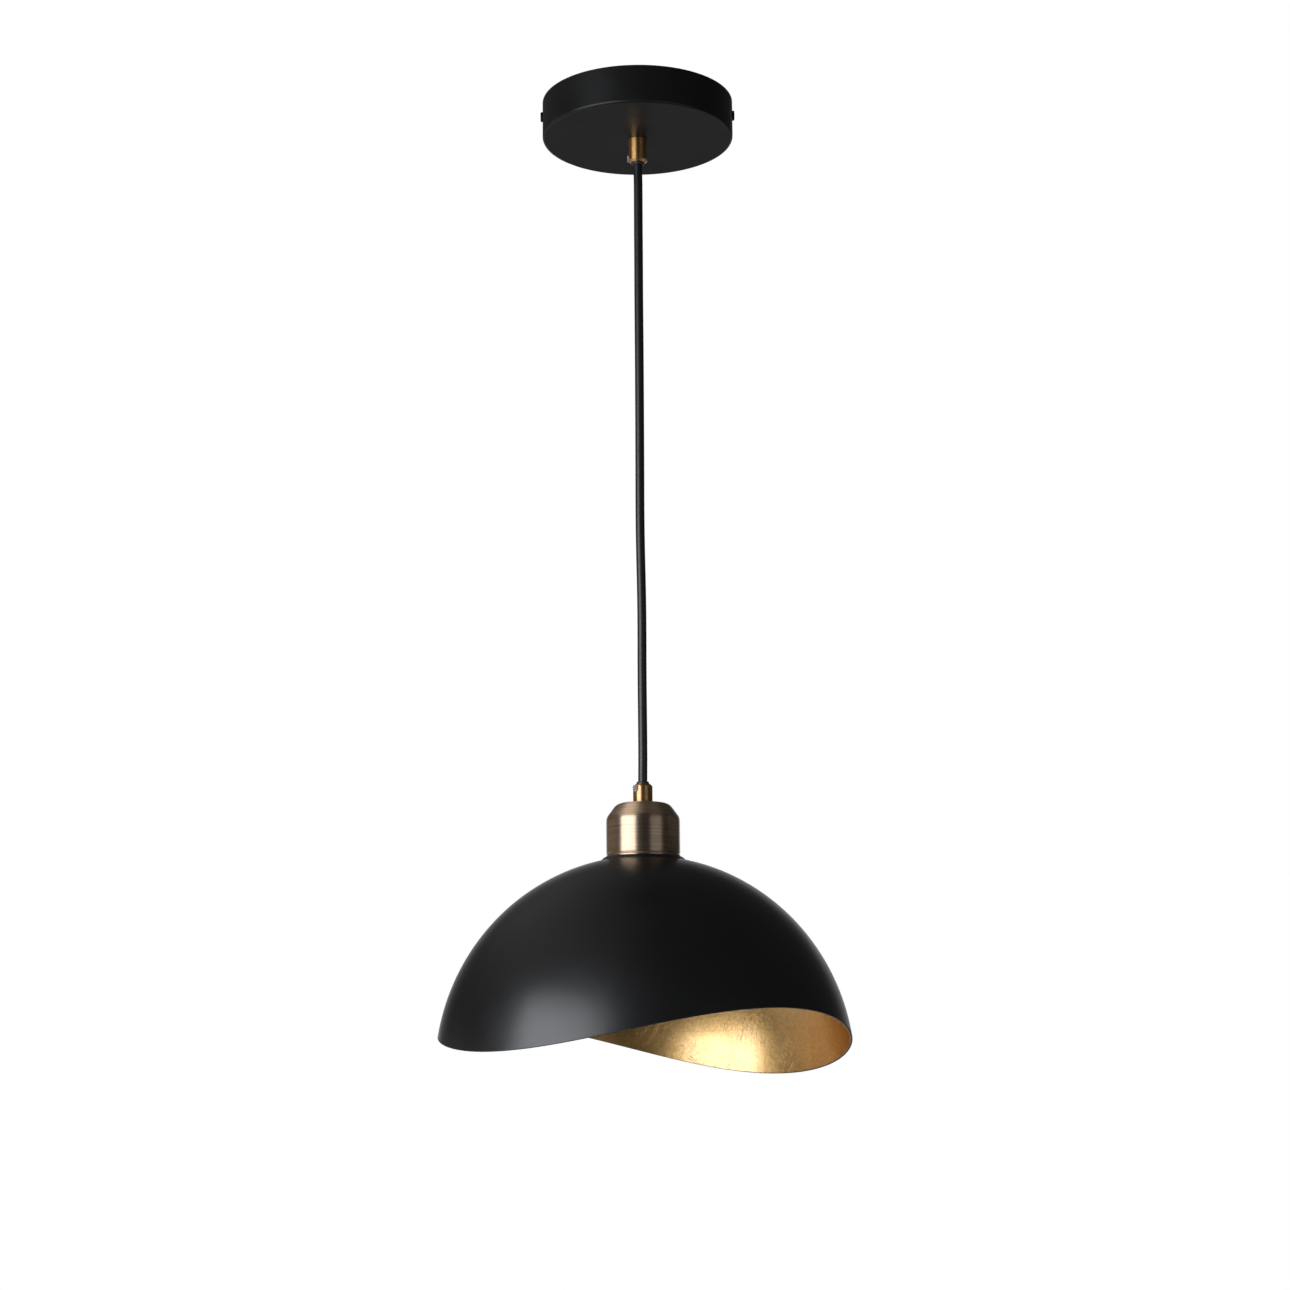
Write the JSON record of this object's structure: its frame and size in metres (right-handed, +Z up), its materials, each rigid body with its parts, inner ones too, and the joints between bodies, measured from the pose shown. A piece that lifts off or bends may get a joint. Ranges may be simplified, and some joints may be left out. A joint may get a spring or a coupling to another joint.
{
  "type": "pendant ceiling light",
  "caption": "Pendant ceiling light: shallow round canopy, straight round flex between brass cord grips, bronze lampholder cup and a black dome shade with a wave-cut rim and gold leaf inside.",
  "frame": {"origin": "centre of the ceiling bracket's face that meets the ceiling, level with the canopy's rim", "axes": "+Z up into the ceiling along the flex, +X to the right and -Y towards the viewer of the picture; the slots for the ceiling screws lie along X"},
  "size_m": [0.2967, 0.2972, 0.7353],
  "materials": {
    "zinc_plated_steel": "zinc plated, satin",
    "black_powder_coat": "matte black powder coat",
    "blackened_steel": "blackened, satin",
    "natural_plastic": "moulded, satin",
    "terminal_brass": "machined",
    "antique_brass": "turned and patinated, satin",
    "black_plastic": "moulded, satin",
    "clear_nylon": "moulded, translucent",
    "flex_sheath": "extruded, satin",
    "brown_core": "extruded insulation",
    "blue_core": "extruded insulation",
    "earth_core": "extruded striped insulation",
    "antique_bronze": "brushed and darkened",
    "holder_plastic": "compression moulded",
    "ceramic": "unglazed steatite",
    "shade_paint": "satin black paint",
    "gold_leaf": "laid leaf, varnished"
  },
  "bodies": {
    "ceiling_rose": {"ceiling_bracket": "zinc_plated_steel", "canopy": "black_powder_coat", "canopy_side_screws": "blackened_steel", "terminal_block": "natural_plastic", "terminal_sleeves": "terminal_brass", "terminal_screws": "zinc_plated_steel", "terminal_fixing_screw": "zinc_plated_steel", "earth_tag": "terminal_brass", "earth_screw": "zinc_plated_steel", "upper_cord_grip": "antique_brass", "upper_grip_bushing": "black_plastic", "upper_grip_screw": "clear_nylon", "canopy_washer": "zinc_plated_steel", "canopy_nut": "terminal_brass", "flex_ceiling_end": "flex_sheath", "ceiling_live_core": "brown_core", "ceiling_neutral_core": "blue_core", "ceiling_earth_core": "earth_core"},
    "flex_exit": {"flex_exit": "flex_sheath"},
    "flex": {"flex": "flex_sheath"},
    "lamp": {"lower_cord_grip": "antique_brass", "lower_grip_bushing": "black_plastic", "lower_grip_screw": "clear_nylon", "flex_lamp_end": "flex_sheath", "lampholder_cup": "antique_bronze", "lampholder_cap": "holder_plastic", "earth_terminal": "terminal_brass", "lampholder_skirt": "holder_plastic", "lampholder_insert": "ceramic", "lampholder_terminals": "terminal_brass", "screw_shell": "terminal_brass", "contact_rivet": "terminal_brass", "lamp_live_core": "brown_core", "lamp_neutral_core": "blue_core", "lamp_earth_core": "earth_core", "shade_ring": "holder_plastic", "shade": "shade_paint", "gold_leaf_lining": "gold_leaf"},
    "contact": {"centre_contact": "terminal_brass"}
  },
  "joints": [
    {"name": "swing_sideways", "type": "hinge", "parent": "ceiling_rose", "child": "flex_exit", "pos_m": [0, 0, -0.0506], "axis": [0, 1, 0], "range_deg": [-25, 25]},
    {"name": "swing_fore_aft", "type": "hinge", "parent": "flex_exit", "child": "flex", "pos_m": [0, 0, -0.0986], "axis": [1, 0, 0], "range_deg": [-25, 25]},
    {"name": "twist", "type": "hinge", "parent": "flex", "child": "lamp", "pos_m": [0, 0, -0.5263], "axis": [0, 0, 1], "range_deg": [-180, 180], "stiffness_Nm_per_rad": 0.02},
    {"name": "contact_press", "type": "hinge", "parent": "lamp", "child": "contact", "pos_m": [-0.0065, 0, -0.5765], "axis": [0, -1, 0], "range_deg": [0, 8], "stiffness_Nm_per_rad": 0.2}
  ]
}
